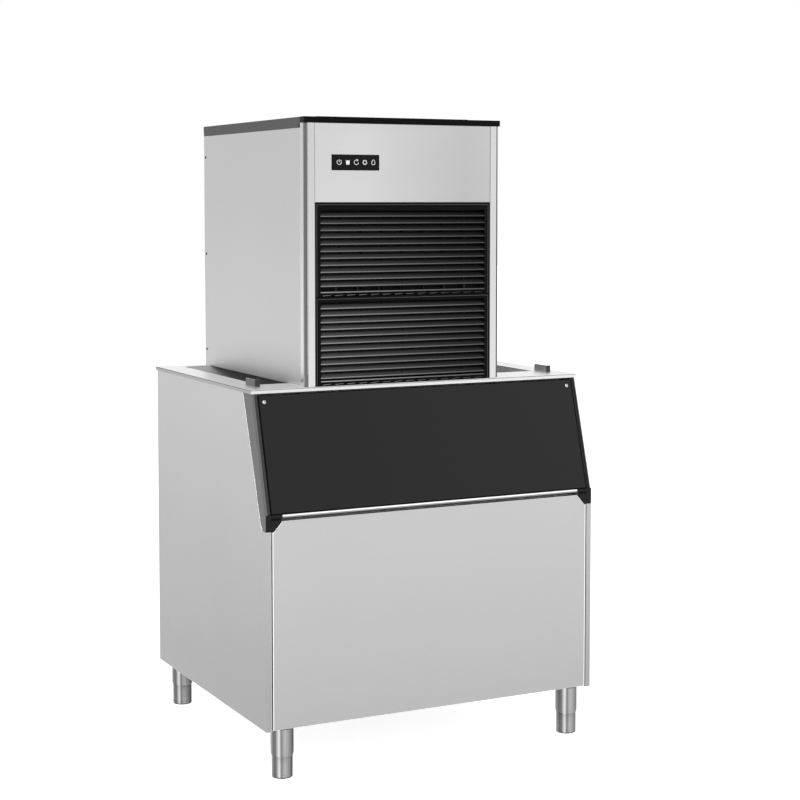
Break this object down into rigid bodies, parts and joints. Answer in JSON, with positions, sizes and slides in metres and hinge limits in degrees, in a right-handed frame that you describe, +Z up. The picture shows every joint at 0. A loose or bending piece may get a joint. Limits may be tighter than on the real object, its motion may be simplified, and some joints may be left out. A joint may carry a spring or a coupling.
{
  "type": "nugget ice machine",
  "caption": "Modular ice maker head with a louvred front, standing on a wide insulated steel storage bin with a dark slanted door and adjustable legs.",
  "frame": {"origin": "on the floor, under the middle of the machine's outline", "axes": "+Z up, +Y towards the back, +X to the right of someone who faces the machine"},
  "size_m": [0.948, 0.818, 1.646],
  "materials": {
    "case_steel": "satin brushed stainless sheet",
    "bright_steel": "polished stainless",
    "door_plastic": "dark grained moulding",
    "black_plastic": "black moulding",
    "control_glass": "gloss black touch plate",
    "rim_white": "white moulded rim and tub",
    "foam": "rigid foam",
    "rubber": "soft black rubber",
    "galvanised": "galvanised sheet",
    "black_paint": "black enamel",
    "copper": "drawn copper",
    "fins": "bare fins",
    "board_green": "circuit board",
    "clear_tube": "milky water tube",
    "brass": "machined brass"
  },
  "bodies": {
    "cabinet": {"bin_left_panel": "case_steel", "bin_right_panel": "case_steel", "bin_front_panel": "case_steel", "bin_back_panel": "galvanised", "bin_bottom_panel": "galvanised", "bin_liner": "rim_white", "bin_insulation": "foam", "bin_rim": "rim_white", "rim_tabs": "case_steel", "door_throat": "rim_white", "left_door_frame": "black_plastic", "right_door_frame": "black_plastic", "door_hinge_pins": "bright_steel", "leg_sockets": "bright_steel", "bin_drain_fitting": "black_plastic", "head_base": "galvanised", "head_left_panel": "case_steel", "head_right_panel": "case_steel", "head_back_panel": "galvanised", "head_front_panel": "case_steel", "control_panel": "control_glass", "control_board": "board_green", "left_corner_post": "bright_steel", "right_corner_post": "bright_steel", "upper_grille": "black_plastic", "lower_grille": "black_plastic", "head_lid": "black_plastic", "side_screws": "bright_steel", "air_filter": "black_plastic", "condenser": "fins", "fan_shroud": "galvanised", "fan_motor": "black_paint", "compressor": "black_paint", "gear_motor": "black_paint", "evaporator_barrel": "bright_steel", "evaporator_jacket": "foam", "extruder_head": "brass", "ice_chute": "black_plastic", "water_reservoir": "black_plastic", "float_valve": "brass", "electrical_box": "galvanised", "power_inlet_gland": "black_plastic", "copper_pipes": "copper", "filter_drier": "copper", "water_tube": "clear_tube"},
    "door": {"door_shell": "door_plastic", "door_inner_panel": "rim_white", "door_gasket": "rubber", "door_handle_strip": "bright_steel", "door_screws": "bright_steel"},
    "fan": {"fan_blade": "black_plastic"},
    "auger": {"auger": "bright_steel"},
    "float": {"float_arm": "clear_tube"},
    "flap": {"level_flap": "black_plastic"},
    "foot_front_left": {"leg_foot_front_left": "bright_steel"},
    "foot_front_right": {"leg_foot_front_right": "bright_steel"},
    "foot_rear_left": {"leg_foot_rear_left": "bright_steel"},
    "foot_rear_right": {"leg_foot_rear_right": "bright_steel"}
  },
  "joints": [
    {"name": "door_hinge", "type": "hinge", "parent": "cabinet", "child": "door", "pos_m": [0, -0.31825, 0.92446], "axis": [-1, 0, 0], "range_deg": [0, 90]},
    {"name": "fan_spin", "type": "hinge", "parent": "cabinet", "child": "fan", "pos_m": [-0.046, -0.1991, 1.167], "axis": [0, 1, 0], "continuous": true},
    {"name": "auger_spin", "type": "hinge", "parent": "cabinet", "child": "auger", "pos_m": [-0.198, 0.087, 1.059], "axis": [0, 0, 1], "continuous": true},
    {"name": "float_swing", "type": "hinge", "parent": "cabinet", "child": "float", "pos_m": [-0.203, 0.3555, 1.422], "axis": [-1, 0, 0], "range_deg": [0, 25]},
    {"name": "flap_swing", "type": "hinge", "parent": "cabinet", "child": "flap", "pos_m": [0.009, 0.087, 1.382], "axis": [0, -1, 0], "range_deg": [0, 25]},
    {"name": "foot_front_left_screw", "type": "slide", "parent": "cabinet", "child": "foot_front_left", "axis": [0, 0, -1], "range_m": [0, 0.025]},
    {"name": "foot_front_right_screw", "type": "slide", "parent": "cabinet", "child": "foot_front_right", "axis": [0, 0, -1], "range_m": [0, 0.025]},
    {"name": "foot_rear_left_screw", "type": "slide", "parent": "cabinet", "child": "foot_rear_left", "axis": [0, 0, -1], "range_m": [0, 0.025]},
    {"name": "foot_rear_right_screw", "type": "slide", "parent": "cabinet", "child": "foot_rear_right", "axis": [0, 0, -1], "range_m": [0, 0.025]}
  ]
}
